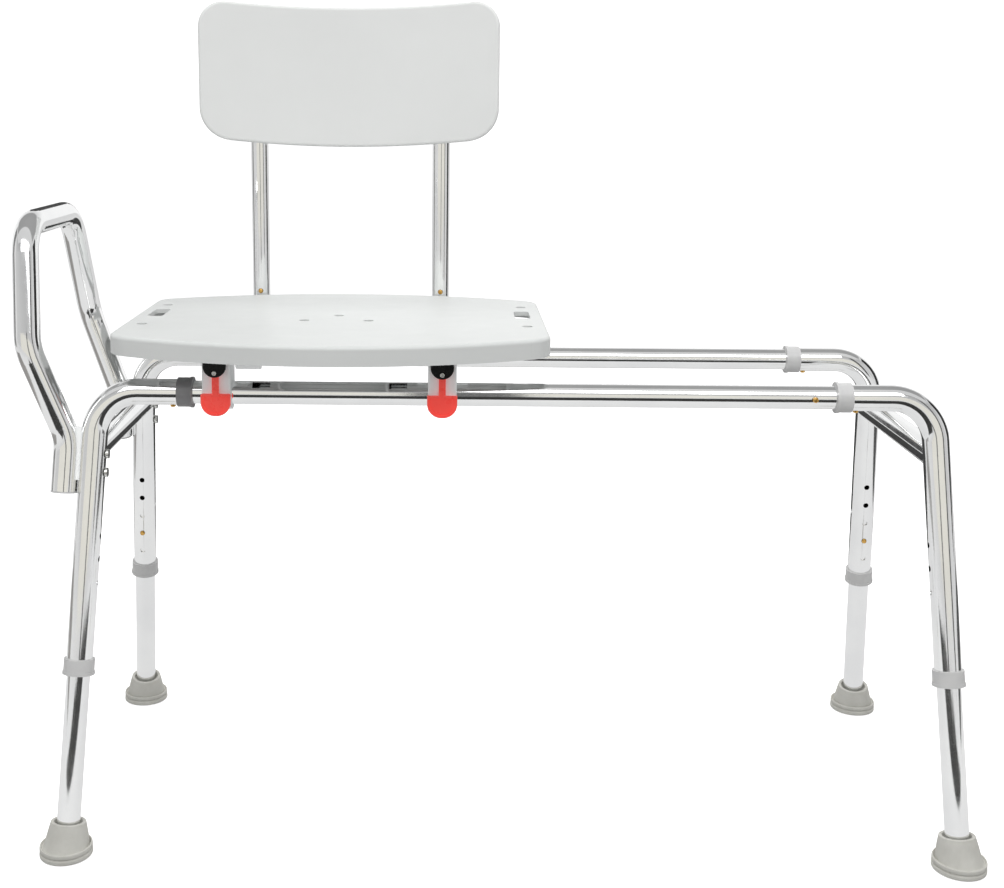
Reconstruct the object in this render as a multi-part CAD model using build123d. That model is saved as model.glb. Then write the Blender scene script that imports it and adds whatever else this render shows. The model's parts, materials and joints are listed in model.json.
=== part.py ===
from build123d import *
import os
from math import sqrt

# Bath transfer bench: a backed seat that slides along two rails between four splayed legs.
#
# Millimetres, +Z up, floor at z = 0. The sitter faces -Y, so -Y is the front and +Y the rear.
# Left is -X, where the side arm is. The pieces are laid out about the middle of the four legs
# and moved along X as they are saved, so that the origin is the bench's bottom centre.

# Tubes, outside diameter and wall: frame over inner tube, back post over back carrier.
FRAME_D = 28.6
FRAME_WALL = 1.5
INNER_D = 25.4
INNER_WALL = 1.4
POST_D = 22.2
POST_WALL = 1.5
CARRIER_D = 19.05
CARRIER_WALL = 1.4

# Frame: the rails' centrelines meet the legs' centrelines at the four corners.
RAIL_Z = 497.5
CORNER_X = 455.0
CORNER_Y = 116.0
SPLAY_X = 0.058
SPLAY_Y = 0.177
BEND_R = 48.0
STUB_END_X = 352.3
RAIL_END_X = 398.0
BRACE_Z = 435.5
UPPER_LEG_END_Z = 196.5
LOWER_LEG_TOP_Z = 294.0
LOWER_LEG_END_Z = 6.0

# Height adjustment: a row of holes facing the other rail and a short row facing the middle.
HOLE_PITCH = 25.4
HEIGHT_HOLES = 5
FIRST_HEIGHT_HOLE = 35.8
REST_HOLE = 1
SIDE_HOLES = 3
FIRST_SIDE_HOLE = 97.4

# Snap buttons: a round head on a V spring of flat strip.
BUTTON_R = 3.0
BUTTON_HOLE_R = 3.3
BUTTON_DOME_R = 1.6
BUTTON_PROUD = 2.4
STOP_PROUD = 4.0
SPRING_T = 0.7
SPRING_W = 8.0
BACK_SPRING_W = 6.0
SPRING_GAP = 0.35
SPRING_TAIL = 6.0
SPRING_LENGTH = 22.0
SPRING_BEND_R = 1.6
RAIL_BUTTON_X = 372.0
STOP_X = 324.7

# Plastic collars at the tube joints.
COLLAR_LIP = 3.5
RAIL_COLLAR_L = 17.0
RAIL_COLLAR_R = 16.2
LEG_COLLAR_L = 17.0
LEG_COLLAR_R = 16.8
COLLAR_BEAD = 0.8
COLLAR_BEAD_L = 3.0
LEG_CLEARANCE = 0.3

# Rubber foot tips.
SOLE_R = 28.75
SOLE_H = 5.2
GROOVE_R = 27.0
GROOVE_H = 1.0
BEAD_R = 28.2
BEAD_EDGE_R = 1.6
FLANGE_H = 11.5
NECK_BASE_R = 22.0
NECK_TOP_R = 17.3
NECK_TOP = 34.0
NECK_EDGE_R = 1.5

# Side arm on the left, bolted outside the two left legs.
ARM_OFFSET = 29.8
ARM_END_Z = 390.0
ARM_FOOT_Z = 447.0
ARM_KINK = (525.0, 134.0, 548.0)
ARM_TOP = (535.0, 92.0, 678.0)
ARM_KINK_R = 60.0
ARM_TOP_R = 45.0
BRACKET_LOW_Z = 402.0
BRACKET_HIGH_Z = 460.0
BRACKET_W = 11.0
ARM_BOLT_ZS = (410.0, 430.0)
ARM_BOLT_R = 3.0
ARM_BOLT_HEAD_R = 5.2
ARM_BOLT_HEAD_H = 2.6
ARM_BOLT_SEAT = 0.5
ARM_NUT_R = 5.0
ARM_NUT_H = 4.0

# Seat, in its place at the left end of the travel.
SEAT_X = -199.0
SEAT_W = 478.0
SEAT_D = 408.0
SEAT_FRONT_R = 476.0
SEAT_REAR_R = 500.0
SEAT_FRONT_CORNER_R = 40.0
SEAT_REAR_CORNER_R = 28.0
SEAT_BOTTOM_Z = 543.0
SEAT_H = 21.5
SEAT_PLATE_T = 5.0
SEAT_SKIRT_T = 4.0
SEAT_EDGE_R = 4.5
RIB_T = 3.0
RIB_XS = (-195.0, -60.0, 60.0, 195.0)
RIB_YS = (-160.0, -104.0, -40.0, 40.0, 104.0, 160.0)
BELT_SLOT = (18.0, 55.0)
BELT_SLOT_AT = (215.0, 24.0)
BELT_SLOT_CORNER_R = 5.0
DRAIN_R = 6.0
SIDE_DRAINS = ((217.0, -62.0), (-217.0, -62.0), (217.0, 88.0), (-217.0, 88.0))
MIDDLE_DRAINS = ((37.0, -28.0), (-37.0, -28.0), (0.0, 10.0))

# Slide blocks: a sleeve round the rail under a column that carries the seat.
BLOCK_HALF_SPACING = 122.5
BLOCK_W = 31.0
BLOCK_D = 35.0
SLEEVE_R = 18.0
SLEEVE_CLEARANCE = 0.3
BLOCK_EDGE_R = 2.0
BLOCK_FLANGE = (56.0, 24.0, 6.0)
SEAT_SCREW_SPREAD = 20.0
SEAT_SCREW_R = 2.2
SEAT_SCREW_HEAD_R = 4.5
SEAT_SCREW_HEAD_H = 3.0
SEAT_SCREW_L = 12.0

# Lock levers on the front blocks.
PIVOT_Z = 524.0
PIN_R = 2.5
PIN_CLEARANCE = 0.05
PIN_FRONT = 29.4
PIN_REAR = -5.0
LEVER_FRONT = 23.0
LEVER_T = 4.0
LEVER_HUB_R = 6.0
STEM_W = 7.5
PADDLE_W = 32.6
PADDLE_TOP = 24.0
PADDLE_H = 24.5
PADDLE_BOTTOM_R = 15.4
PADDLE_TOP_R = 1.5
PADDLE_RIM = 2.8
PADDLE_RECESS = 1.0
LEVER_EDGE_R = 1.2
NOSE_R = 13.8
NOSE_W = 5.0
NOSE_FRONT = 7.0
NOSE_REAR = 3.0
CHAMBER_R = 14.3
CHAMBER_REAR = 2.0
CHAMBER_WALL = 3.5
HUB_CLEARANCE = 0.3
CAP_R = 12.6
CAP_RISE = 7.5
CAP_FRONT = 28.2
CAP_T = 4.7
CAP_EDGE_R = 1.5
LOCK_SLOT_L = 19.4
LOCK_SLOT_W = 9.0
LOCK_SLOT_SHIFT = 6.0
LOCK_SLOT_INSET = 48.0

# Backrest on two posts that plug over the back carriers.
POST_HALF_SPACING = 117.5
POST_Y = 210.0
POST_BOTTOM_Z = 556.0
POST_TOP_Z = 920.0
CARRIER_Z = 531.0
CARRIER_FRONT_Y = -108.0
CARRIER_TOP_Z = 602.0
CARRIER_BEND_R = 24.0
CARRIER_CLEARANCE = 0.05
CARRIER_SCREW_R = 1.8
CARRIER_SCREW_HEAD_R = 3.5
CARRIER_SCREW_HEAD_H = 2.5
BACK_BUTTON_Z = 568.0
PANEL_W = 381.0
PANEL_BOTTOM_Z = 755.0
PANEL_MID_TOP_Z = 930.4
PANEL_SIDE_TOP_Z = 940.8
PANEL_BOTTOM_SAG = 13.0
PANEL_TOP_CORNER_R = 32.0
PANEL_BOTTOM_CORNER_R = 42.0
PANEL_MID_Y = 202.0
PANEL_HOLLOW = 22.0
PANEL_D = 19.0
PANEL_PLATE_T = 5.0
PANEL_SKIRT_T = 4.0
PANEL_EDGE_R = 3.5
POST_NOTCH_GAP = 0.4
BACK_SCREW_ZS = (790.0, 885.0)
BACK_SCREW_R = 2.5
BACK_SCREW_HEAD_R = 4.8
BACK_SCREW_HEAD_H = 2.4
BACK_SCREW_BITE = 3.0
PLUG_L = 12.0
PLUG_LIP = 2.0

# Worked out from the sizes above.
FRAME_R = FRAME_D / 2
INNER_R = INNER_D / 2
POST_R = POST_D / 2
CARRIER_R = CARRIER_D / 2
FOOT_X = CORNER_X + SPLAY_X * RAIL_Z
MIDDLE_X = (FOOT_X + SOLE_R - ARM_TOP[0] - FRAME_R) / 2
SEAT_PLATE_Z = SEAT_BOTTOM_Z + SEAT_H - SEAT_PLATE_T
BLOCK_XS = {"left": SEAT_X - BLOCK_HALF_SPACING, "right": SEAT_X + BLOCK_HALF_SPACING}
POST_XS = {"left": SEAT_X - POST_HALF_SPACING, "right": SEAT_X + POST_HALF_SPACING}
BUTTON_TRAVEL = BUTTON_PROUD + FRAME_R - INNER_R
BACK_BUTTON_TRAVEL = BUTTON_PROUD + POST_R - CARRIER_R

SIDES = {"left": -1, "right": 1}
ENDS = {"front": -1, "rear": 1}
FROM_BASE = (Align.CENTER, Align.CENTER, Align.MIN)


def leg_point(side, end, z):
    """The point at height z on a leg's centreline."""
    drop = RAIL_Z - z
    return Vector(side * (CORNER_X + SPLAY_X * drop), end * (CORNER_Y + SPLAY_Y * drop), z)


def leg_up(side, end):
    """Unit vector up a leg."""
    return (leg_point(side, end, RAIL_Z) - leg_point(side, end, 0)).normalized()


def square_to(direction, axis):
    """The part of a direction that is square to an axis, as a unit vector."""
    direction = Vector(direction)
    return (direction - axis * direction.dot(axis)).normalized()


def follow(points, section, radii=()):
    """Sweep a section along straight runs, with one bend radius for each inner point."""
    path = FilletPolyline(*points, radius=radii) if radii else Line(*points)
    return sweep(Plane(origin=path @ 0, z_dir=path % 0) * section, path)


def tube(points, diameter, wall, radii=()):
    return follow(points, Circle(diameter / 2) - Circle(diameter / 2 - wall), radii)


def rod(start, end, radius):
    """Cylinder from one point to another."""
    run = Vector(end) - Vector(start)
    return Plane(origin=start, z_dir=run) * Cylinder(radius, run.length, align=FROM_BASE)


def ring(place, start, stop, outer_r, inner_r):
    """Ring along a plane's normal, from one distance to another."""
    blank = extrude(Circle(outer_r) - Circle(inner_r), stop - start)
    return place * Pos(0, 0, start) * blank


def block(low, high):
    """Box between two corners."""
    size = Vector(high) - Vector(low)
    centre = (Vector(low) + Vector(high)) * 0.5
    return Pos(*centre) * Box(*size)


# Snap buttons. Each place has its normal out through the button and its X along the spring.


def leg_place(side, end, up, facing):
    """Place on a leg's centreline, a distance up from the upper tube's end."""
    axis = leg_up(side, end)
    origin = leg_point(side, end, UPPER_LEG_END_Z) + axis * up
    return Plane(origin=origin, x_dir=axis, z_dir=square_to(facing, axis))


def height_place(side, end, hole):
    return leg_place(side, end, FIRST_HEIGHT_HOLE + hole * HOLE_PITCH, (0, -end, 0))


def rail_place(side, end):
    origin = (side * RAIL_BUTTON_X, end * CORNER_Y, RAIL_Z)
    return Plane(origin=origin, x_dir=(-side, 0, 0), z_dir=(0, 0, -1))


def stop_place():
    return Plane(origin=(STOP_X, -CORNER_Y, RAIL_Z), x_dir=(-1, 0, 0), z_dir=(0, -1, 0))


def back_place(x):
    return Plane(origin=(x, POST_Y, BACK_BUTTON_Z), x_dir=(0, 0, 1), z_dir=(0, -1, 0))


def button_hole(place):
    """Cutter from the tube's axis out through one wall."""
    return place * Cylinder(BUTTON_HOLE_R, FRAME_D, align=FROM_BASE)


def snap_button(place, bore_r, tip_r, travel, strip_w):
    """Button head and its V spring, whose free leg leaves room for the travel behind it."""
    seat_z = sqrt((bore_r - SPRING_GAP) ** 2 - (strip_w / 2) ** 2)
    strip_z = seat_z - SPRING_T / 2
    head = Pos(0, 0, seat_z) * Cylinder(BUTTON_R, tip_r - seat_z, align=FROM_BASE)
    head = fillet(head.edges().sort_by(Axis.Z)[-1], BUTTON_DOME_R)
    corners = [(-SPRING_TAIL, 0, strip_z), (SPRING_LENGTH, 0, strip_z), (0, 0, travel - strip_z)]
    path = FilletPolyline(*corners, radius=SPRING_BEND_R)
    start = Plane(origin=path @ 0, x_dir=(0, 1, 0), z_dir=path % 0)
    spring = sweep(start * Rectangle(strip_w, SPRING_T), path)
    return [place * head, place * spring]


def frame_button(place):
    """Snap button in an inner tube, out through the frame tube round it."""
    return snap_button(place, INNER_R - INNER_WALL, FRAME_R + BUTTON_PROUD, BUTTON_TRAVEL, SPRING_W)


# Frame.


def leg_frame(side, end):
    """Bent tube: a stub towards the rail, a bend and the upper leg with its adjustment holes."""
    stub = Vector(side * STUB_END_X, end * CORNER_Y, RAIL_Z)
    corner = leg_point(side, end, RAIL_Z)
    part = tube([stub, corner, leg_point(side, end, UPPER_LEG_END_Z)], FRAME_D, FRAME_WALL, [BEND_R])
    part -= button_hole(rail_place(side, end))
    for hole in range(HEIGHT_HOLES):
        part -= button_hole(height_place(side, end, hole))
    for hole in range(SIDE_HOLES):
        part -= button_hole(leg_place(side, end, FIRST_SIDE_HOLE + hole * HOLE_PITCH, (-side, 0, 0)))
    if side == SIDES["left"]:
        part -= [arm_bolt_hole(end, z) for z in ARM_BOLT_ZS]
    return part


def cross_brace(side):
    """Tube between the front and rear legs, its ends cut to sit on them."""
    x, reach, z = leg_point(side, 1, BRACE_Z)
    brace = tube([(x, 0.5 - reach, z), (x, reach - 0.5, z)], FRAME_D, FRAME_WALL)
    for end in ENDS.values():
        low = leg_point(side, end, BRACE_Z - FRAME_D)
        high = leg_point(side, end, BRACE_Z + FRAME_D)
        brace -= rod(low, high, FRAME_R)
    return brace.solids().sort_by(SortBy.VOLUME)[-1]


def rail(end):
    """Rail plugged into the stubs; the front one has the stop's hole and the lock slots."""
    y = end * CORNER_Y
    part = tube([(-RAIL_END_X, y, RAIL_Z), (RAIL_END_X, y, RAIL_Z)], INNER_D, INNER_WALL)
    part -= [button_hole(rail_place(side, end)) for side in SIDES.values()]
    if end == ENDS["front"]:
        part -= button_hole(stop_place())
        for lever_x in BLOCK_XS.values():
            inward = LOCK_SLOT_INSET if lever_x < SEAT_X else -LOCK_SLOT_INSET
            part -= [lock_slot(lever_x), lock_slot(lever_x + inward)]
    return part


def lock_slot(x):
    """Cutter for a slot on the front of the front rail's top."""
    y = -CORNER_Y - LOCK_SLOT_SHIFT
    low = (x - LOCK_SLOT_L / 2, y - LOCK_SLOT_W / 2, RAIL_Z + INNER_R / 3)
    high = (x + LOCK_SLOT_L / 2, y + LOCK_SLOT_W / 2, RAIL_Z + FRAME_R)
    return block(low, high)


def collar(place, length, outer_r, inner_r):
    """Collar over a frame tube's end, with a bead and a lip that closes on the inner tube."""
    body = ring(place, COLLAR_LIP, length, outer_r, FRAME_R)
    lip = ring(place, 0, COLLAR_LIP, outer_r, inner_r)
    bead = ring(place, 0, COLLAR_BEAD_L, outer_r + COLLAR_BEAD, outer_r)
    return body + lip + bead


def rail_collar(side, end):
    origin = (side * (STUB_END_X - COLLAR_LIP), end * CORNER_Y, RAIL_Z)
    return collar(Plane(origin=origin, z_dir=(side, 0, 0)), RAIL_COLLAR_L, RAIL_COLLAR_R, INNER_R)


def leg_collar(side, end):
    axis = leg_up(side, end)
    origin = leg_point(side, end, UPPER_LEG_END_Z) - axis * COLLAR_LIP
    return collar(Plane(origin=origin, z_dir=axis), LEG_COLLAR_L, LEG_COLLAR_R, INNER_R + LEG_CLEARANCE)


# Legs below the collars.


def lower_leg(side, end):
    ends = [leg_point(side, end, LOWER_LEG_END_Z), leg_point(side, end, LOWER_LEG_TOP_Z)]
    return tube(ends, INNER_D, INNER_WALL) - button_hole(height_place(side, end, REST_HOLE))


def foot_tip(side, end):
    """Rubber tip: a flat sole and a bead parted by a groove, with a neck that leans with the leg."""
    floor = leg_point(side, end, 0)
    sole = Cylinder(SOLE_R, SOLE_H, align=FROM_BASE)
    sole = fillet(sole.edges().sort_by(Axis.Z)[-1], BEAD_EDGE_R)
    bead = Cylinder(BEAD_R, FLANGE_H - SOLE_H - GROOVE_H, align=FROM_BASE)
    bead = fillet(bead.edges().filter_by(GeomType.CIRCLE), BEAD_EDGE_R)
    core = Cylinder(GROOVE_R, FLANGE_H - BEAD_EDGE_R, align=FROM_BASE)
    flange = sole + core + Pos(0, 0, SOLE_H + GROOVE_H) * bead
    neck_base = FLANGE_H / 2
    neck = Cone(NECK_BASE_R, NECK_TOP_R, NECK_TOP - neck_base, align=FROM_BASE)
    neck = fillet(neck.edges().sort_by(Axis.Z)[-1], NECK_EDGE_R)
    tip = Pos(*floor) * flange + Plane(origin=floor, z_dir=leg_up(side, end)) * Pos(0, 0, neck_base) * neck
    above = leg_point(side, end, NECK_TOP + FLANGE_H)
    return tip - rod(leg_point(side, end, LOWER_LEG_END_Z), above, INNER_R)


# Side arm.


def arm_point(end, z):
    """Point on the arm's lower stretch, which runs outside a left leg and level with it."""
    return leg_point(SIDES["left"], end, z) - Vector(ARM_OFFSET, 0, 0)


def arm_shape(section):
    """A section swept up the front of the arm, over the top and down the rear."""
    kink_x, kink_y, kink_z = ARM_KINK
    top_x, top_y, top_z = ARM_TOP
    front = [arm_point(-1, ARM_END_Z), arm_point(-1, ARM_FOOT_Z)]
    front += [(-kink_x, -kink_y, kink_z), (-top_x, -top_y, top_z)]
    rear = [(-top_x, top_y, top_z), (-kink_x, kink_y, kink_z)]
    rear += [arm_point(1, ARM_FOOT_Z), arm_point(1, ARM_END_Z)]
    bends = [ARM_KINK_R, ARM_KINK_R, ARM_TOP_R, ARM_TOP_R, ARM_KINK_R, ARM_KINK_R]
    return follow(front + rear, section, bends)


def side_arm():
    arm = arm_shape(Circle(FRAME_R) - Circle(FRAME_R - FRAME_WALL))
    return arm - [arm_bolt_hole(end, z) for end in ENDS.values() for z in ARM_BOLT_ZS]


def arm_plug(end):
    """Plug in one of the arm's lower ends."""
    place = Plane(origin=arm_point(end, ARM_END_Z), z_dir=leg_up(SIDES["left"], end))
    lip = Pos(0, 0, -PLUG_LIP) * Cylinder(FRAME_R, PLUG_LIP, align=FROM_BASE)
    return place * (lip + Cylinder(FRAME_R - FRAME_WALL, PLUG_L, align=FROM_BASE))


def arm_bracket(end):
    """Saddle between the arm and a left leg, hollowed to both tubes."""
    low = (leg_point(-1, end, BRACKET_LOW_Z) + arm_point(end, BRACKET_LOW_Z)) * 0.5
    axis = leg_up(SIDES["left"], end)
    place = Plane(origin=low, x_dir=square_to((-1, 0, 0), axis), z_dir=axis)
    saddle = place * Box(ARM_OFFSET, BRACKET_W, BRACKET_HIGH_Z - BRACKET_LOW_Z, align=FROM_BASE)
    below = leg_point(-1, end, BRACKET_LOW_Z - FRAME_D)
    above = leg_point(-1, end, BRACKET_HIGH_Z + FRAME_D)
    saddle -= rod(below, above, FRAME_R)
    saddle -= arm_shape(Circle(FRAME_R))
    saddle -= cross_brace(SIDES["left"])
    saddle -= [arm_bolt_hole(end, z) for z in ARM_BOLT_ZS]
    return saddle.solids().sort_by(SortBy.VOLUME)[-1]


def arm_bolt_hole(end, z):
    """Hole from a left leg's inner face to the middle of the arm."""
    inner = leg_point(-1, end, z) + Vector(FRAME_D, 0, 0)
    return rod(inner, arm_point(end, z), ARM_BOLT_R)


def arm_bolt(end, z):
    """Bolt with its head on the leg's inner face and its nut inside the arm."""
    head_x = leg_point(-1, end, z).X + FRAME_R + ARM_BOLT_SEAT
    nut_x = arm_point(end, z).X + FRAME_R - FRAME_WALL - 3 * ARM_BOLT_SEAT
    y = leg_point(-1, end, z).Y
    shank = rod((head_x, y, z), (nut_x - ARM_NUT_H, y, z), ARM_BOLT_R)
    head = rod((head_x, y, z), (head_x + ARM_BOLT_HEAD_H, y, z), ARM_BOLT_HEAD_R)
    nut = rod((nut_x, y, z), (nut_x - ARM_NUT_H, y, z), ARM_NUT_R)
    return shank + head + nut


# Seat.


def seat_outline():
    """Rectangle with a bowed front and rear, round at the corners."""
    front = Pos(0, SEAT_FRONT_R - SEAT_D / 2) * Circle(SEAT_FRONT_R)
    rear = Pos(0, SEAT_D / 2 - SEAT_REAR_R) * Circle(SEAT_REAR_R)
    outline = Rectangle(SEAT_W, SEAT_D) & front & rear
    outline = fillet(outline.vertices().group_by(Axis.Y)[0], SEAT_FRONT_CORNER_R)
    return fillet(outline.vertices().group_by(Axis.Y)[-1], SEAT_REAR_CORNER_R)


def seat_panel():
    """Moulded tray: top plate, skirt, ribs and a pad over each slide block."""
    outline = seat_outline()
    tray = extrude(outline, SEAT_H)
    tray = fillet(tray.faces().sort_by(Axis.Z)[-1].edges(), SEAT_EDGE_R)
    hollow = extrude(offset(outline, -SEAT_SKIRT_T), SEAT_H - SEAT_PLATE_T)
    rib_h = SEAT_H - SEAT_PLATE_T
    ribs = [Pos(x, 0) * Box(RIB_T, SEAT_D, rib_h, align=FROM_BASE) for x in RIB_XS]
    ribs += [Pos(0, y) * Box(RIB_XS[-1] * 2, RIB_T, rib_h, align=FROM_BASE) for y in RIB_YS]
    pad_y = CORNER_Y - BLOCK_FLANGE[1] / 2
    pad_d = BLOCK_D + BLOCK_FLANGE[1]
    for side in SIDES.values():
        for end in ENDS.values():
            pad = Box(BLOCK_FLANGE[0], pad_d, rib_h, align=FROM_BASE)
            ribs.append(Pos(side * BLOCK_HALF_SPACING, end * pad_y) * pad)
    tray = tray - hollow + [rib & hollow for rib in ribs]
    slot = RectangleRounded(*BELT_SLOT, BELT_SLOT_CORNER_R)
    slot_x, slot_y = BELT_SLOT_AT
    tray -= [extrude(Pos(side * slot_x, slot_y) * slot, SEAT_H) for side in SIDES.values()]
    drain = Cylinder(DRAIN_R, SEAT_H, align=FROM_BASE)
    tray -= [Pos(x, y) * drain for x, y in SIDE_DRAINS + MIDDLE_DRAINS]
    corners = [(x, end) for x in BLOCK_XS.values() for end in ENDS.values()]
    screws = [screw for x, end in corners for screw in seat_screw_pair(x, end)]
    return Pos(SEAT_X, 0, SEAT_BOTTOM_Z) * tray - screws


def seat_screw_pair(block_x, end):
    """The two screws that hold a block's flange up against the seat."""
    y = end * (CORNER_Y - BLOCK_D / 2 - BLOCK_FLANGE[1] / 2)
    under = SEAT_BOTTOM_Z - BLOCK_FLANGE[2]
    pair = []
    for x in (block_x - SEAT_SCREW_SPREAD, block_x + SEAT_SCREW_SPREAD):
        head = rod((x, y, under - SEAT_SCREW_HEAD_H), (x, y, under), SEAT_SCREW_HEAD_R)
        shank = rod((x, y, under), (x, y, SEAT_BOTTOM_Z + SEAT_SCREW_L), SEAT_SCREW_R)
        pair.append(head + shank)
    return pair


def slide_block(block_x, end):
    """Sleeve and column; a front one has a chamber for the lever's nose, with a keyway into it."""
    y = end * CORNER_Y
    inner_y = y - end * BLOCK_D / 2
    half_w = BLOCK_W / 2
    low = (block_x - half_w, y - BLOCK_D / 2, RAIL_Z)
    column = block(low, (block_x + half_w, y + BLOCK_D / 2, SEAT_BOTTOM_Z))
    column = fillet(column.edges().filter_by(Axis.Z), BLOCK_EDGE_R)
    sleeve = rod((block_x - half_w, y, RAIL_Z), (block_x + half_w, y, RAIL_Z), SLEEVE_R)
    flange = Box(*BLOCK_FLANGE, align=(Align.CENTER, Align.CENTER, Align.MAX))
    flange_y = inner_y - end * BLOCK_FLANGE[1] / 2
    part = column + sleeve + Pos(block_x, flange_y, SEAT_BOTTOM_Z) * flange
    part -= rod((block_x - half_w, y, RAIL_Z), (block_x + half_w, y, RAIL_Z), INNER_R + SLEEVE_CLEARANCE)
    part -= seat_screw_pair(block_x, end)
    part -= carrier_screw(block_x, end)
    carrier_x = block_x + (POST_HALF_SPACING - BLOCK_HALF_SPACING) * (1 if block_x > SEAT_X else -1)
    carrier_end = CARRIER_FRONT_Y if end == ENDS["front"] else y + BLOCK_D
    bore = (carrier_x, carrier_end, CARRIER_Z)
    part -= rod(bore, (carrier_x, 0, CARRIER_Z), CARRIER_R + CARRIER_CLEARANCE)
    if end == ENDS["front"]:
        face_y = y - BLOCK_D / 2
        rear_y = y - CHAMBER_REAR
        part -= rod((block_x, face_y + CHAMBER_WALL, PIVOT_Z), (block_x, rear_y, PIVOT_Z), CHAMBER_R)
        part -= rod((block_x, face_y, PIVOT_Z), (block_x, rear_y, PIVOT_Z), LEVER_HUB_R + HUB_CLEARANCE)
        half_key = NOSE_W / 2 + HUB_CLEARANCE
        key_top = (block_x + half_key, rear_y, PIVOT_Z + CHAMBER_R)
        part -= block((block_x - half_key, face_y, PIVOT_Z), key_top)
        part -= lever_pin(block_x)
    return part


# Lock levers: each swings on a pin along Y, with its cap in front.


def lever_pin(x):
    pin = rod((x, -CORNER_Y - PIN_FRONT, PIVOT_Z), (x, -CORNER_Y - PIN_REAR, PIVOT_Z), PIN_R)
    return fillet(pin.edges().sort_by(Axis.Y)[0], PIN_R / 4)


def lever_cap(x):
    """Round cap, set higher than the pin that holds it."""
    y = -CORNER_Y - CAP_FRONT
    cap = rod((x, y, PIVOT_Z + CAP_RISE), (x, y + CAP_T, PIVOT_Z + CAP_RISE), CAP_R)
    cap = fillet(cap.edges().sort_by(Axis.Y)[0], CAP_EDGE_R)
    return cap - lever_pin(x)


def lock_lever(x):
    """Paddle on a stem, with a hub that reaches back to the cam nose over the rail."""
    paddle = Pos(0, -PADDLE_TOP - PADDLE_H / 2) * Rectangle(PADDLE_W, PADDLE_H)
    paddle = fillet(paddle.vertices().group_by(Axis.Y)[0], PADDLE_BOTTOM_R)
    paddle = fillet(paddle.vertices().group_by(Axis.Y)[-1], PADDLE_TOP_R)
    stem = Pos(0, -PADDLE_TOP / 2) * Rectangle(STEM_W, PADDLE_TOP + 2)
    blade = extrude(paddle + stem + Circle(LEVER_HUB_R), LEVER_T)
    blade = fillet(blade.faces().sort_by(Axis.Z)[-1].edges(), LEVER_EDGE_R)
    blade -= Pos(0, 0, LEVER_T - PADDLE_RECESS) * extrude(offset(paddle, -PADDLE_RIM), PADDLE_RECESS)
    back = LEVER_FRONT - LEVER_T
    front_plane = Plane(origin=(x, -CORNER_Y - back, PIVOT_Z), x_dir=(1, 0, 0), z_dir=(0, -1, 0))
    hub = Cylinder(LEVER_HUB_R, back - NOSE_REAR, align=FROM_BASE)
    hub = front_plane * Pos(0, 0, NOSE_REAR - back) * hub
    nose = rod((x, -CORNER_Y - NOSE_FRONT, PIVOT_Z), (x, -CORNER_Y - NOSE_REAR, PIVOT_Z), NOSE_R)
    nose &= block(
        (x - NOSE_W / 2, -CORNER_Y - NOSE_FRONT, PIVOT_Z - NOSE_R),
        (x + NOSE_W / 2, -CORNER_Y - NOSE_REAR, PIVOT_Z),
    )
    bore = rod((x, -CORNER_Y - LEVER_FRONT, PIVOT_Z), (x, -CORNER_Y, PIVOT_Z), PIN_R + PIN_CLEARANCE)
    return front_plane * blade + hub + nose - bore


# Backrest.


def back_carrier(side_name):
    """Tube through both blocks of one side, bent up behind the seat to take a post."""
    x = POST_XS[side_name]
    corners = [(x, CARRIER_FRONT_Y, CARRIER_Z), (x, POST_Y, CARRIER_Z), (x, POST_Y, CARRIER_TOP_Z)]
    carrier = tube(corners, CARRIER_D, CARRIER_WALL, [CARRIER_BEND_R]) - button_hole(back_place(x))
    return carrier - [carrier_screw(BLOCK_XS[side_name], end) for end in ENDS.values()]


def carrier_screw(block_x, end):
    """Screw through a block's inner side into its carrier."""
    inward = 1 if block_x < SEAT_X else -1
    face_x = block_x + inward * BLOCK_W / 2
    y = -CORNER_Y + BLOCK_D / 2 - BLOCK_EDGE_R - CARRIER_SCREW_HEAD_R if end == ENDS["front"] else CORNER_Y
    shank = rod((face_x, y, CARRIER_Z), (face_x - inward * BLOCK_W / 4, y, CARRIER_Z), CARRIER_SCREW_R)
    head_x = face_x + inward * CARRIER_SCREW_HEAD_H
    head = rod((face_x, y, CARRIER_Z), (head_x, y, CARRIER_Z), CARRIER_SCREW_HEAD_R)
    return shank + head


def back_button(x):
    """Snap button in a carrier, out through the post round it."""
    bore_r = CARRIER_R - CARRIER_WALL
    return snap_button(back_place(x), bore_r, POST_R + BUTTON_PROUD, BACK_BUTTON_TRAVEL, BACK_SPRING_W)


def back_post(x):
    post = tube([(x, POST_Y, POST_BOTTOM_Z), (x, POST_Y, POST_TOP_Z)], POST_D, POST_WALL)
    return post - button_hole(back_place(x)) - back_screws(x)


def post_plug(x):
    lip = Cylinder(POST_R, PLUG_LIP, align=FROM_BASE)
    stem = Cylinder(POST_R - POST_WALL, PLUG_L, align=(Align.CENTER, Align.CENTER, Align.MAX))
    return Pos(x, POST_Y, POST_TOP_Z) * (lip + stem)


def panel_y(x):
    """Front face of the backrest at a distance x from its middle, hollow towards the sitter."""
    return PANEL_MID_Y - PANEL_HOLLOW * (2 * x / PANEL_W) ** 2


def panel_slab(front, rear):
    """Everything between two depths behind the backrest's front face."""
    half = PANEL_W / 2 + 1
    side_y, mid_y = panel_y(half), panel_y(0)
    near = ThreePointArc((-half, side_y + front), (0, mid_y + front), (half, side_y + front))
    far = ThreePointArc((half, side_y + rear), (0, mid_y + rear), (-half, side_y + rear))
    outline = make_face([near, Line(near @ 1, far @ 0), far, Line(far @ 1, near @ 0)])
    return extrude(outline, PANEL_SIDE_TOP_Z)


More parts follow.
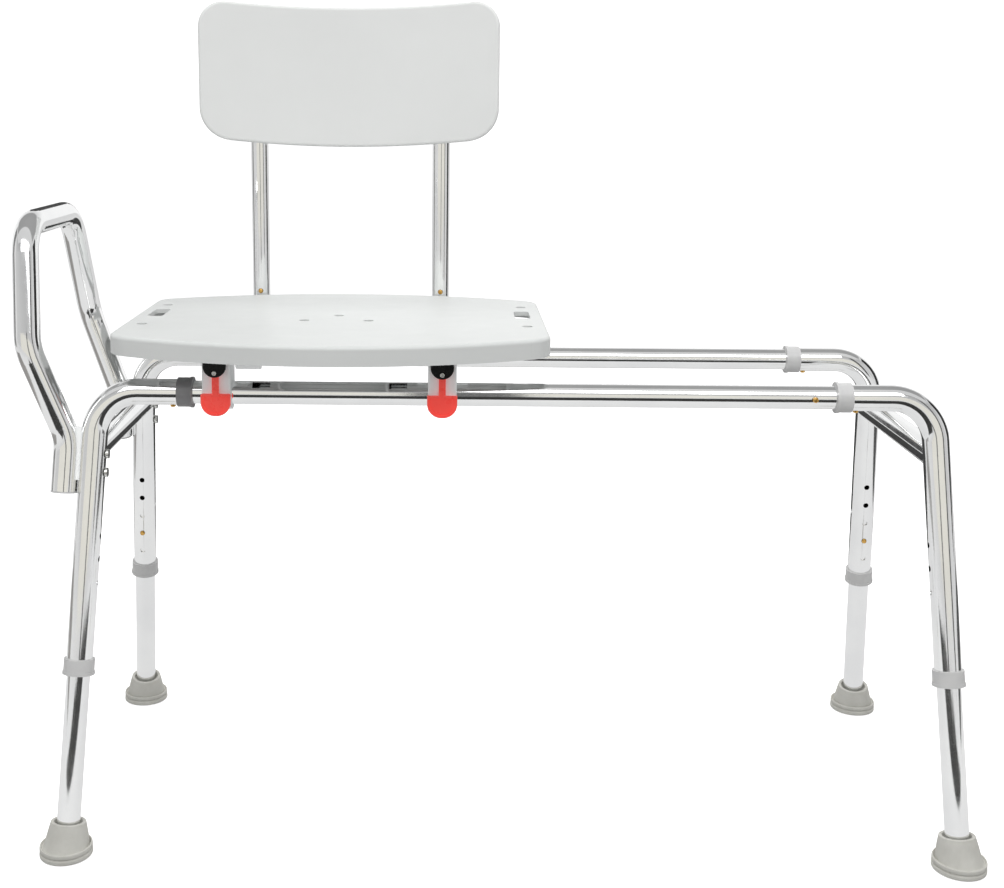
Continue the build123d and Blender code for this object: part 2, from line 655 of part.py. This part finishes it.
def panel_outline():
    """Backrest seen from the front: a dipped top edge, a bowed bottom edge and round corners."""
    half = PANEL_W / 2
    top = ThreePointArc((-half, PANEL_SIDE_TOP_Z), (0, PANEL_MID_TOP_Z), (half, PANEL_SIDE_TOP_Z))
    low_z = PANEL_BOTTOM_Z + PANEL_BOTTOM_SAG
    bottom = ThreePointArc((half, low_z), (0, PANEL_BOTTOM_Z), (-half, low_z))
    outline = make_face([top, Line(top @ 1, bottom @ 0), bottom, Line(bottom @ 1, top @ 0)])
    outline = fillet(outline.vertices().group_by(Axis.Y)[0], PANEL_BOTTOM_CORNER_R)
    return fillet(outline.vertices().group_by(Axis.Y)[-1], PANEL_TOP_CORNER_R)


def backrest_panel():
    """Moulded tray, open at the rear, notched below for the posts."""
    outline = panel_outline()
    facing = Plane(origin=(0, 0, 0), x_dir=(1, 0, 0), z_dir=(0, -1, 0))
    prism = extrude(facing * outline, -2 * POST_Y)
    core = extrude(facing * offset(outline, -PANEL_SKIRT_T), -2 * POST_Y)
    shell = prism & panel_slab(0, PANEL_D)
    front = shell.faces().sort_by(SortBy.AREA)[-2:].sort_by(Axis.Y)[0]
    shell = fillet(front.edges(), PANEL_EDGE_R)
    tray = shell - (core & panel_slab(PANEL_PLATE_T, 2 * PANEL_D))
    for x in (-POST_HALF_SPACING, POST_HALF_SPACING):
        notch = rod((x, POST_Y, PANEL_BOTTOM_Z), (x, POST_Y, POST_TOP_Z), POST_R + POST_NOTCH_GAP)
        open_rear = block(
            (x - POST_R - POST_NOTCH_GAP, POST_Y, PANEL_BOTTOM_Z),
            (x + POST_R + POST_NOTCH_GAP, POST_Y + POST_D, POST_TOP_Z),
        )
        tray -= (notch + open_rear) & panel_slab(PANEL_PLATE_T, 2 * PANEL_D)
    tray = Pos(SEAT_X, 0, 0) * tray
    return tray - [screw for x in POST_XS.values() for screw in back_screws(x)]


def back_screws(x):
    """Screws through a post into the backrest's front plate."""
    tip_y = panel_y(POST_HALF_SPACING) + PANEL_PLATE_T - BACK_SCREW_BITE
    screws = []
    for z in BACK_SCREW_ZS:
        shank = rod((x, tip_y, z), (x, POST_Y + POST_R, z), BACK_SCREW_R)
        head = rod((x, POST_Y + POST_R, z), (x, POST_Y + POST_R + BACK_SCREW_HEAD_H, z), BACK_SCREW_HEAD_R)
        screws.append(shank + head)
    return screws


def save(name, *pieces):
    """Write one node, moved so that the bench's bottom centre is the origin."""
    solids = [solid for piece in pieces for solid in piece.solids()]
    moved = [solid.moved(Location((-MIDDLE_X, 0, 0))) for solid in solids]
    export_step(moved[0] if len(moved) == 1 else Compound(moved), f"parts/{name}.step")


def save_frame():
    for end_name, end in ENDS.items():
        save(f"{end_name}_rail", rail(end))
        save(f"arm_bracket_{end_name}", arm_bracket(end))
        for side_name, side in SIDES.items():
            corner = f"{end_name}_{side_name}"
            save(f"leg_frame_{corner}", leg_frame(side, end))
            save(f"rail_collar_{corner}", rail_collar(side, end))
            save(f"leg_collar_{corner}", leg_collar(side, end))
            save(f"rail_button_{corner}", *frame_button(rail_place(side, end)))
    for side_name, side in SIDES.items():
        save(f"cross_brace_{side_name}", cross_brace(side))
    save("side_arm", side_arm())
    save("arm_plugs", *[arm_plug(end) for end in ENDS.values()])
    save("arm_bolts", *[arm_bolt(end, z) for end in ENDS.values() for z in ARM_BOLT_ZS])
    stop = snap_button(stop_place(), INNER_R - INNER_WALL, INNER_R + STOP_PROUD, STOP_PROUD, SPRING_W)
    save("stop_button", *stop)


def save_legs():
    for end_name, end in ENDS.items():
        for side_name, side in SIDES.items():
            corner = f"{end_name}_{side_name}"
            save(f"lower_leg_{corner}", lower_leg(side, end))
            save(f"foot_tip_{corner}", foot_tip(side, end))
            place = height_place(side, end, REST_HOLE)
            save(f"leg_button_{corner}", *frame_button(place))


def save_seat():
    save("seat_panel", seat_panel())
    save("backrest_panel", backrest_panel())
    save("lever_pins", *[lever_pin(x) for x in BLOCK_XS.values()])
    save("post_plugs", *[post_plug(x) for x in POST_XS.values()])
    save("backrest_screws", *[screw for x in POST_XS.values() for screw in back_screws(x)])
    corners = [(x, end) for x in BLOCK_XS.values() for end in ENDS.values()]
    save("seat_screws", *[screw for x, end in corners for screw in seat_screw_pair(x, end)])
    save("carrier_screws", *[carrier_screw(x, end) for x, end in corners])
    for side_name, x in BLOCK_XS.items():
        save(f"lever_cap_{side_name}", lever_cap(x))
        save(f"lock_lever_{side_name}", lock_lever(x))
        for end_name, end in ENDS.items():
            save(f"slide_block_{end_name}_{side_name}", slide_block(x, end))
    for side_name, x in POST_XS.items():
        save(f"back_carrier_{side_name}", back_carrier(side_name))
        save(f"back_post_{side_name}", back_post(x))
        save(f"back_button_{side_name}", *back_button(x))


os.makedirs("parts", exist_ok=True)
save_frame()
save_legs()
save_seat()
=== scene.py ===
import json
import math
import bmesh
import bpy
from mathutils import Matrix, Vector

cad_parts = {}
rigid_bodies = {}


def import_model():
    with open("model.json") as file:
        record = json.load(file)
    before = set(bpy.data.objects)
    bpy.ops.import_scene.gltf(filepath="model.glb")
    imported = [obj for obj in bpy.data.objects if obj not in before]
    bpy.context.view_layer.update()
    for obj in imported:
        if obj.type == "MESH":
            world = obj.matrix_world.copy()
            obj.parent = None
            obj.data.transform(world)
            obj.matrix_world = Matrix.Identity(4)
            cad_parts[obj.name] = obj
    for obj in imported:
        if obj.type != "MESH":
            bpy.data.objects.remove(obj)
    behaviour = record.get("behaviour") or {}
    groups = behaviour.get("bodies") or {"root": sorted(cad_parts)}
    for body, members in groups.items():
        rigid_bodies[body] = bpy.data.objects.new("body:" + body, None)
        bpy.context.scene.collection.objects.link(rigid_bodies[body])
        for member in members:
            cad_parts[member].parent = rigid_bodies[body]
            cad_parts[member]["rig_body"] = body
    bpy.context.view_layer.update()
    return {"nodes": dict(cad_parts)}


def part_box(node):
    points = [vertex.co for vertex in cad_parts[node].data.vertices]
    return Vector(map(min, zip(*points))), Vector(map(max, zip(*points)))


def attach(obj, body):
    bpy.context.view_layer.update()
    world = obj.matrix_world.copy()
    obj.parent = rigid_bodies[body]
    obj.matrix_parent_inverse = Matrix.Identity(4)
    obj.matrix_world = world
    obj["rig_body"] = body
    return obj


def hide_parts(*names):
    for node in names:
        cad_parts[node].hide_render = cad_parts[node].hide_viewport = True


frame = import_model()
nodes = frame["nodes"]

# ---- camera --------------------------------------------------------------------------------

CAMERA_PLACE = Vector((-0.05115, -1.6135, 0.8096))
CAMERA_YAW, CAMERA_PITCH, CAMERA_ROLL = 0.0245, 0.164, 0.0037
CAMERA_LENS, SENSOR = 50.2, 36.0
CAMERA_SHIFT = (0.0863, -0.1076)


def place_camera():
    """The camera at the photograph's viewing angle."""
    data = bpy.data.cameras.new("camera")
    data.lens, data.sensor_width = CAMERA_LENS, SENSOR
    data.shift_x, data.shift_y = CAMERA_SHIFT
    forward = Vector((-math.sin(CAMERA_YAW) * math.cos(CAMERA_PITCH),
                      math.cos(CAMERA_YAW) * math.cos(CAMERA_PITCH), -math.sin(CAMERA_PITCH)))
    level = Vector((math.cos(CAMERA_YAW), math.sin(CAMERA_YAW), 0))
    upright = level.cross(forward)
    right = math.cos(CAMERA_ROLL) * level + math.sin(CAMERA_ROLL) * upright
    up = -math.sin(CAMERA_ROLL) * level + math.cos(CAMERA_ROLL) * upright
    turn = Matrix((right, up, -forward)).transposed().to_4x4()
    camera = bpy.data.objects.new("camera", data)
    camera.matrix_world = Matrix.Translation(CAMERA_PLACE) @ turn
    bpy.context.scene.collection.objects.link(camera)
    bpy.context.scene.camera = camera


# ---- materials -----------------------------------------------------------------------------

# Where on the noise, from 0 to 1, a tint starts and ends, and where a smudge does.
TINT_STOPS = (0.35, 0.65)
SMUDGE_STOPS = (0.3, 0.7)


def grey(shade):
    return (shade, shade, shade)


def surface(name, colours, rough, patch=9.0, smudge=35.0, grain=(900.0, 0.0002, 0.2),
            stretch=(1.0, 1.0, 1.0), **sockets):
    """A procedural finish whose colour drifts, whose gloss is smudged and whose grain is a bump.

    colours and rough are pairs to drift between, patch and smudge the scales of those drifts,
    and grain the bump's scale, distance and strength.
    """
    made = bpy.data.materials.new(name)
    made.use_nodes = True
    tree = made.node_tree
    shader = tree.nodes["Principled BSDF"]
    for socket, value in sockets.items():
        shader.inputs[socket.replace("_", " ")].default_value = value

    def node(kind, **inputs):
        new = tree.nodes.new(kind)
        for key, value in inputs.items():
            if hasattr(value, "links"):
                tree.links.new(value, new.inputs[key.replace("_", " ")])
            else:
                new.inputs[key.replace("_", " ")].default_value = value
        return new

    place = tree.nodes.new("ShaderNodeTexCoord").outputs["Object"]
    drift = node("ShaderNodeTexNoise", Vector=place, Scale=patch, Detail=5.0, Roughness=0.6)
    tint = node("ShaderNodeValToRGB", Fac=drift.outputs["Fac"])
    for stop, position, colour in zip(tint.color_ramp.elements, TINT_STOPS, colours):
        stop.position, stop.color = position, (*colour, 1)
    tree.links.new(tint.outputs["Color"], shader.inputs["Base Color"])
    marks = node("ShaderNodeTexNoise", Vector=place, Scale=smudge, Detail=6.0, Roughness=0.65)
    gloss = node("ShaderNodeMapRange", Value=marks.outputs["Fac"], From_Min=SMUDGE_STOPS[0],
                 From_Max=SMUDGE_STOPS[1], To_Min=rough[0], To_Max=rough[1])
    tree.links.new(gloss.outputs["Result"], shader.inputs["Roughness"])
    mapping = node("ShaderNodeMapping", Vector=place, Scale=stretch)
    fine = node("ShaderNodeTexNoise", Vector=mapping.outputs["Vector"], Scale=grain[0], Detail=4.0)
    bump = node("ShaderNodeBump", Height=fine.outputs["Fac"], Distance=grain[1], Strength=grain[2])
    tree.links.new(bump.outputs["Normal"], shader.inputs["Normal"])
    return made


# The drawing marks run along the tube, so their noise is stretched that way.
DRAWN = 0.012
TUBE = dict(colours=((0.86, 0.865, 0.87), (0.93, 0.935, 0.93)), rough=(0.055, 0.12),
            grain=(1400.0, 0.0001, 0.07), Metallic=1.0)
tube_x = surface("aluminium_drawn_x", stretch=(DRAWN, 1, 1), **TUBE)
tube_z = surface("aluminium_drawn_z", stretch=(1, 1, DRAWN), **TUBE)

MOULDED = dict(rough=(0.40, 0.52), patch=4.0, grain=(1500.0, 0.0003, 0.22), Specular_IOR_Level=0.45)
# The seat and the backrest are one grey plastic given two colours as painted light: the seat's is
# darkened as painted shade against its overhead light, and the backrest's is lightened as painted
# light on its upright face.
seat_plastic = surface("seat_plastic", ((0.630, 0.645, 0.636), (0.665, 0.680, 0.671)), **MOULDED)
back_plastic_painted_light = surface("back_plastic_painted_light", ((0.755, 0.765, 0.757), (0.785, 0.795, 0.787)), **MOULDED)

COLLAR = dict(rough=(0.34, 0.46), patch=40.0, smudge=120.0, grain=(2200.0, 0.0001, 0.15))
collar_plastic = surface("collar_plastic", (grey(0.58), (0.63, 0.63, 0.625)), **COLLAR)
collar_dark = surface("collar_plastic_dark", ((0.20, 0.20, 0.205), (0.235, 0.235, 0.24)), **COLLAR)

rubber = surface("rubber", ((0.53, 0.525, 0.485), (0.60, 0.595, 0.555)), (0.55, 0.72),
                 patch=45.0, smudge=90.0, grain=(1800.0, 0.0003, 0.35), Specular_IOR_Level=0.35)
# Its emission is a painted glow: painted light that lifts the white blocks and brackets out of the
# shade under the seat.
white_plastic = surface("white_plastic", ((0.91, 0.92, 0.92), (0.94, 0.95, 0.95)), (0.30, 0.42),
                        patch=30.0, smudge=80.0, grain=(1800.0, 0.0001, 0.15),
                        Emission_Color=(0.95, 1.0, 1.0, 1.0), Emission_Strength=0.08)
# Its emission is a painted glow: painted light that lifts the red levers out of the shade under the
# seat.
red_plastic = surface("red_plastic", ((0.93, 0.06, 0.045), (0.97, 0.08, 0.06)), (0.24, 0.34),
                      patch=60.0, smudge=150.0, grain=(2500.0, 0.0001, 0.12),
                      Coat_Weight=0.35, Coat_Roughness=0.15,
                      Emission_Color=(1.0, 0.09, 0.07, 1.0), Emission_Strength=0.20)
black_plastic = surface("black_plastic", (grey(0.003), grey(0.007)), (0.20, 0.32), patch=80.0,
                        smudge=160.0, grain=(2500.0, 0.0001, 0.12), Specular_IOR_Level=0.25)
brass = surface("brass", ((0.50, 0.27, 0.06), (0.78, 0.50, 0.16)), (0.16, 0.32), patch=400.0,
                smudge=500.0, grain=(4000.0, 0.00005, 0.2), Metallic=1.0)
zinc = surface("zinc_plate", ((0.62, 0.62, 0.60), (0.75, 0.76, 0.74)), (0.20, 0.34), patch=200.0,
               smudge=300.0, grain=(3000.0, 0.00005, 0.2), Metallic=1.0)

# The first start that fits a node's name gives its finish.
FINISHES = (
    ("rail_collar_front_left", collar_dark), ("rail_collar", collar_plastic),
    ("leg_collar", collar_plastic), ("rail_button", brass), ("leg_button", brass),
    ("stop_button", brass), ("back_button", brass), ("lower_leg", tube_z),
    ("foot_tip", rubber), ("leg_frame", tube_z), ("front_rail", tube_x), ("rear_rail", tube_x),
    ("cross_brace", tube_z), ("side_arm", tube_z), ("arm_plugs", collar_plastic),
    ("arm_bracket", white_plastic), ("arm_bolts", zinc), ("seat_panel", seat_plastic),
    ("backrest_panel", back_plastic_painted_light), ("lever_pins", zinc), ("post_plugs", collar_plastic),
    ("backrest_screws", zinc), ("seat_screws", zinc), ("carrier_screws", zinc),
    ("lever_cap", black_plastic), ("lock_lever", red_plastic), ("slide_block", white_plastic),
    ("back_carrier", tube_x), ("back_post", tube_z),
)

for name, part in nodes.items():
    part.data.materials.clear()
    part.data.materials.append(next(made for start, made in FINISHES if name.startswith(start)))


# ---- detailed pieces -----------------------------------------------------------------------

SEGMENTS = 56
TURNS = [2 * math.pi * i / SEGMENTS for i in range(SEGMENTS)]
MM_PER_M = 1000
WELD = 1e-6

# How far a leg leans along the bench and across it, for each metre of height.
LEAN_ALONG, LEAN_ACROSS = 0.058, 0.177

# A foot's outline, from the sole's tread up its outside and down into its bore: radius and height
# in millimetres, and how far the ring leans with the leg, from none to all of it.
FOOT_OUTLINE = (
    (3.0, 0.9, 0), (5.0, 0.9, 0), (5.6, 0.1, 0), (9.4, 0.1, 0), (10.0, 0.9, 0), (12.4, 0.9, 0),
    (13.0, 0.1, 0), (16.8, 0.1, 0), (17.4, 0.9, 0), (19.8, 0.9, 0), (20.4, 0.1, 0), (24.2, 0.1, 0),
    (24.8, 0.9, 0), (26.2, 0.9, 0), (26.8, 0.1, 0), (28.0, 0.1, 0), (28.5, 0.5, 0), (28.7, 1.2, 0),
    (28.7, 3.9, 0), (28.5, 4.6, 0), (27.9, 5.1, 0), (27.2, 5.3, 0), (26.9, 5.6, 0), (26.9, 6.1, 0),
    (27.3, 6.4, 0), (28.0, 6.7, 0), (28.5, 7.4, 0), (28.5, 10.5, 0), (28.2, 11.3, 0),
    (27.5, 11.7, 0), (26.8, 11.5, 0), (26.4, 10.9, 0), (26.2, 10.1, 0), (25.4, 9.8, 0.1),
    (24.8, 10.0, 0.3), (24.5, 11.0, 0.7), (24.1, 13.0, 1), (23.0, 18.0, 1), (21.7, 24.0, 1),
    (20.3, 30.0, 1), (19.5, 33.0, 1), (19.3, 33.6, 1), (19.3, 34.4, 1), (19.0, 35.1, 1),
    (18.3, 35.5, 1), (16.4, 35.5, 1), (15.5, 35.2, 1), (15.0, 34.4, 1), (14.6, 31.0, 1),
    (14.0, 29.8, 1), (12.9, 29.4, 1), (12.75, 28.6, 1), (12.75, 16.0, 1), (12.75, 7.4, 1),
)

# A screw's point, thread root and thread pitch, for a shank of radius 1, and the least pitch.
SCREW_POINT, THREAD_START, THREAD_ROOT, THREAD_PITCH = 0.5, 0.8, 0.88, 0.6
LEAST_PITCH = 0.001
# A pan head's radius and height, for a head of radius and height 1.
PAN_HEAD = ((0.97, 0.0), (1.0, 0.15), (0.96, 0.55), (0.82, 0.86), (0.60, 1.0))
# The cross recess: its reach in the head, how much of that its waist keeps, how sharp its arms
# are, and its rings' scale and depth.
RECESS_REACH, RECESS_WAIST, RECESS_SHARPNESS = 0.52, 0.36, 1.5
RECESS_RINGS = ((1.0, 0.0), (0.92, 0.45), (0.60, 0.50))


def body_of(node):
    """The body that a CAD node rides on."""
    return nodes[node]["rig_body"]


def solid_from_rings(name, rings):
    """A smooth closed mesh through rings of points."""
    mesh = bpy.data.meshes.new(name)
    made = bmesh.new()
    loops = [[made.verts.new(point) for point in ring] for ring in rings]
    count = len(rings[0])
    for one, other in zip(loops, loops[1:]):
        for i in range(count):
            made.faces.new((one[i], one[(i + 1) % count], other[(i + 1) % count], other[i]))
    made.faces.new(list(reversed(loops[0])))
    made.faces.new(loops[-1])
    bmesh.ops.recalc_face_normals(made, faces=made.faces)
    made.to_mesh(mesh)
    made.free()
    mesh.shade_smooth()
    piece = bpy.data.objects.new(name, mesh)
    bpy.context.scene.collection.objects.link(piece)
    return piece


def finish_piece(piece, node, material):
    """Give a piece its material and slot, and let it stand for its CAD node."""
    piece.data.materials.append(material)
    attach(piece, body_of(node))
    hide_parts(node)


def ring_about(centre, across, along, radii):
    """Points round a centre, one for each radius, from two directions square to each other."""
    return [centre + (across * math.cos(t) + along * math.sin(t)) * r for t, r in zip(TURNS, radii)]


def make_foot(corner, side, end):
    """A rubber tip with a ribbed tread, a groove round it, a filleted neck and a rolled mouth."""
    node = f"foot_tip_{corner}"
    low, high = (Vector(c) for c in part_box(node))
    floor = Vector(((low.x + high.x) / 2, (low.y + high.y) / 2, low.z))
    upright = Vector((0, 0, 1))
    axis = Vector((-side * LEAN_ALONG, -end * LEAN_ACROSS, 1.0)).normalized()
    rings = []
    for radius, height, lean in FOOT_OUTLINE:
        way = upright.lerp(axis, lean)
        up = way.normalized()
        across = Vector((1, 0, 0)) - up * up.x
        across.normalize()
        centre = floor + way * (height / MM_PER_M)
        rings.append(ring_about(centre, across, up.cross(across), [radius / MM_PER_M] * SEGMENTS))
    piece = solid_from_rings(f"foot_{corner}", rings)
    smooth = piece.modifiers.new("smooth", "SUBSURF")
    smooth.levels = smooth.render_levels = 1
    finish_piece(piece, node, rubber)


def islands(node):
    """The boxes of the separate solids in a CAD node."""
    made = bmesh.new()
    made.from_mesh(nodes[node].data)
    bmesh.ops.remove_doubles(made, verts=made.verts, dist=WELD)
    left, boxes = set(made.verts), []
    while left:
        heap, seen = [next(iter(left))], set()
        while heap:
            vert = heap.pop()
            if vert in seen:
                continue
            seen.add(vert)
            heap.extend(edge.other_vert(vert) for edge in vert.link_edges)
        left -= seen
        boxes.append((Vector([min(v.co[i] for v in seen) for i in range(3)]),
                      Vector([max(v.co[i] for v in seen) for i in range(3)])))
    made.free()
    return sorted(boxes, key=lambda box: tuple(box[0]))


def screw_rings(tip, up, head_r, head_h, shank_r, length):
    """Rings of a pan head screw from its shank's tip, with up pointing to its head."""
    across = up.orthogonal().normalized()
    along = up.cross(across)
    seat = length - head_h
    outline = [(shank_r * SCREW_POINT, 0.0), (shank_r, shank_r * THREAD_START)]
    pitch = max(shank_r * THREAD_PITCH, LEAST_PITCH)
    reach = shank_r * THREAD_START + pitch
    while reach < seat - pitch:
        outline += [(shank_r * THREAD_ROOT, reach - pitch / 2), (shank_r, reach)]
        reach += pitch
    outline.append((shank_r, seat))
    outline += [(head_r * radius, seat + head_h * height) for radius, height in PAN_HEAD]
    rings = [ring_about(tip + up * height, across, along, [radius] * SEGMENTS)
             for radius, height in outline]
    for scale, depth in RECESS_RINGS:
        arms = [abs(math.cos(2 * t)) ** RECESS_SHARPNESS for t in TURNS]
        radii = [head_r * RECESS_REACH * scale * (RECESS_WAIST + (1 - RECESS_WAIST) * arm)
                 for arm in arms]
        rings.append(ring_about(tip + up * (length - head_h * depth), across, along, radii))
    return rings


def make_screws(node, axis, head_at_high, head_h, shank_r):
    """One piece for all the screws of a node, each with threads and a driver recess."""
    parts = []
    for index, (low, high) in enumerate(islands(node)):
        length = high[axis] - low[axis]
        head_r = (high[(axis + 1) % 3] - low[(axis + 1) % 3]) / 2
        tip = (low + high) / 2
        tip[axis] = low[axis] if head_at_high else high[axis]
        up = Vector((0, 0, 0))
        up[axis] = 1 if head_at_high else -1
        rings = screw_rings(tip, up, head_r, head_h, shank_r, length)
        parts.append(solid_from_rings(f"{node}_{index}", rings))
    joined = parts[0]
    made = bmesh.new()
    for part in parts:
        made.from_mesh(part.data)
    made.to_mesh(joined.data)
    made.free()
    joined.data.shade_smooth()
    for part in parts[1:]:
        bpy.data.objects.remove(part)
    joined.name = f"{node}_detailed"
    finish_piece(joined, node, zinc)


for corner, side, end in (("front_left", -1, -1), ("front_right", 1, -1), ("rear_left", -1, 1),
                          ("rear_right", 1, 1)):
    make_foot(corner, side, end)
make_screws("backrest_screws", 1, True, 0.0024, 0.0025)
make_screws("seat_screws", 2, False, 0.0030, 0.0022)


# ---- studio --------------------------------------------------------------------------------

WORLD_STRENGTH = 1.0
FLOOR_REACH = 30.0

# The floor that the camera sees, and its stand-ins below it for bounced light and reflections.
FLOOR_Z, BOUNCE_Z, REFLECTED_Z = -0.0005, -0.002, -0.003
FLOOR_CARD_Z = 0.0005
CEILING_Z = 3.3

# The world's shade by height and by depth: the axis, the value where its ramp starts, and the
# ramp's two stops with their shades.
WORLD_RAMPS = (
    ("Z", 0.0, ((0.30, 1.0), (0.80, 0.55))),
    ("Y", -1.0, ((0.35, 0.62), (0.60, 1.0))),
)

# Level cards: name, low and high corner, height, colour, strength.
LEVEL_CARDS = (
    ("ceiling_front", (-4.0, -2.2), (4.0, -0.2), CEILING_Z, grey(0.30), 1.9),
    ("ceiling_rear", (-4.0, -0.2), (4.0, 3.0), CEILING_Z, grey(0.20), 1.3),
    ("dark_floor", (-1.02, -2.95), (1.12, -0.74), FLOOR_CARD_Z, grey(0.008), 0.0),
    ("dark_floor_rear", (-1.15, 0.80), (1.15, 2.60), FLOOR_CARD_Z, grey(0.02), 0.0),
    ("dark_floor_left", (-2.60, -0.60), (-1.35, 0.60), FLOOR_CARD_Z, (0.30, 0.29, 0.28), 0.0),
    ("dark_floor_right", (1.30, -0.60), (2.60, 0.60), FLOOR_CARD_Z, grey(0.06), 0.0),
)

# Standing cards: name, direction in degrees right of the front, distance, width, the heights of
# the lower and upper edge, colour, strength.
STANDING_CARDS = (
    ("side_flag_left", -103.0, 3.6, 1.3, 0.0, 2.6, grey(0.30), 0.0),
    ("side_flag_right", 102.0, 3.6, 1.9, 0.0, 2.6, grey(0.02), 0.0),
    ("front_flag", 0.0, 2.7, 0.34, 0.0, 1.9, grey(0.15), 0.0),
    ("front_flag_right", 51.0, 3.4, 0.50, 0.0, 2.6, grey(0.10), 0.0),
    ("rear_flag_left", -160.0, 3.8, 0.90, 0.0, 2.6, grey(0.10), 0.0),
    ("front_white", 0.0, 4.2, 9.0, 0.2, 2.2, (0.275, 0.268, 0.245), 2.2),
)

# Soft lights: name, place, aim, size, watts, and whether the tubes reflect it.
SOFTBOXES = (
    ("softbox_front", (0.0, -1.8, 2.3), (0, -0.1, 0.6), (3.0, 1.0), 34.0, True),
    ("softbox_overhead", (0.0, 0.2, 3.2), (0, 0, 0.5), (3.0, 2.0), 31.0, False),
    ("softbox_rear", (0.3, 2.4, 1.9), (0, 0, 0.6), (3.0, 1.4), 16.0, False),
)


def card(name, corners, colour, strength=0.0):
    """A flat studio card, light or dark, that only the reflections in the tubes show."""
    mesh = bpy.data.meshes.new(name)
    mesh.from_pydata([Vector(c) for c in corners], [], [tuple(range(len(corners)))])
    made = bpy.data.objects.new(name, mesh)
    bpy.context.scene.collection.objects.link(made)
    finish = bpy.data.materials.new(name)
    finish.use_nodes = True
    shader = finish.node_tree.nodes["Principled BSDF"]
    shader.inputs["Base Color"].default_value = (*colour, 1)
    shader.inputs["Roughness"].default_value = 0.9
    shader.inputs["Emission Color"].default_value = (*colour, 1)
    shader.inputs["Emission Strength"].default_value = strength
    mesh.materials.append(finish)
    made.visible_camera = made.visible_diffuse = made.visible_shadow = False
    made.visible_transmission = made.visible_volume_scatter = False
    return made


def level_card(name, low, high, z, colour, strength=0.0):
    """A card that lies level between two corners."""
    corners = [(low[0], low[1], z), (high[0], low[1], z), (high[0], high[1], z),
               (low[0], high[1], z)]
    return card(name, corners, colour, strength)


def standing_card(name, way, far, width, low, high, colour, strength=0.0):
    """An upright card round the bench, in a direction in degrees right of the front."""
    angle = math.radians(way)
    out = Vector((math.sin(angle), -math.cos(angle), 0)) * far
    along = Vector((math.cos(angle), math.sin(angle), 0)) * (width / 2)
    rise = Vector((0, 0, high))
    foot = Vector((0, 0, low))
    corners = [out - along + foot, out + along + foot, out + along + rise, out - along + rise]
    return card(name, corners, colour, strength)


def softbox(name, place, aim, size, power, reflected):
    """A large soft light."""
    data = bpy.data.lights.new(name, "AREA")
    data.shape, data.size, data.size_y, data.energy = "RECTANGLE", size[0], size[1], power
    made = bpy.data.objects.new(name, data)
    made.location = place
    made.rotation_euler = (Vector(aim) - Vector(place)).to_track_quat("-Z", "Y").to_euler()
    made.visible_glossy = reflected
    bpy.context.scene.collection.objects.link(made)


def make_world():
    """A white room behind the bench, greyer overhead and in front."""
    world = bpy.data.worlds.new("studio")
    world.use_nodes = True
    tree = world.node_tree
    background = tree.nodes["Background"]
    place = tree.nodes.new("ShaderNodeTexCoord").outputs["Generated"]
    parts = tree.nodes.new("ShaderNodeSeparateXYZ")
    tree.links.new(place, parts.inputs["Vector"])
    shades = []
    for axis, start, stops in WORLD_RAMPS:
        ramp = tree.nodes.new("ShaderNodeValToRGB")
        for element, (position, shade) in zip(ramp.color_ramp.elements, stops):
            element.position, element.color = position, (*grey(shade), 1)
        spread = tree.nodes.new("ShaderNodeMapRange")
        spread.inputs["From Min"].default_value = start
        tree.links.new(parts.outputs[axis], spread.inputs["Value"])
        tree.links.new(spread.outputs["Result"], ramp.inputs["Fac"])
        shades.append(ramp.outputs["Color"])
    both = tree.nodes.new("ShaderNodeMixRGB")
    both.blend_type = "MULTIPLY"
    both.inputs["Fac"].default_value = 1.0
    tree.links.new(shades[0], both.inputs["Color1"])
    tree.links.new(shades[1], both.inputs["Color2"])
    tree.links.new(both.outputs["Color"], background.inputs["Color"])
    background.inputs["Strength"].default_value = WORLD_STRENGTH
    bpy.context.scene.world = world


def make_floor():
    """The plain pale floor, with one card under it for its bounce and one for its reflection."""
    low, high = (-FLOOR_REACH, -FLOOR_REACH), (FLOOR_REACH, FLOOR_REACH)
    seen = level_card("floor", low, high, FLOOR_Z, grey(0.92), 0.62)
    seen.visible_camera, seen.visible_glossy = True, False
    bounce = level_card("floor_bounce", low, high, BOUNCE_Z, grey(0.36))
    bounce.visible_diffuse, bounce.visible_glossy = True, False
    level_card("floor_reflected", low, high, REFLECTED_Z, grey(0.30), 1.9)


def make_backdrop():
    """A white wall far round the bench that only the camera sees."""
    for name, way in (("front", 0.0), ("right", 90.0), ("rear", 180.0), ("left", -90.0)):
        wall = standing_card(f"backdrop_{name}", way, FLOOR_REACH, 2 * FLOOR_REACH, -1.0,
                             FLOOR_REACH, grey(0.9), 1.2)
        wall.visible_camera, wall.visible_glossy = True, False


make_world()
make_floor()
make_backdrop()
for light in SOFTBOXES:
    softbox(*light)
for one_card in LEVEL_CARDS:
    level_card(*one_card)
for one_card in STANDING_CARDS:
    standing_card(*one_card)
bpy.context.scene.view_settings.view_transform = "Standard"
place_camera()
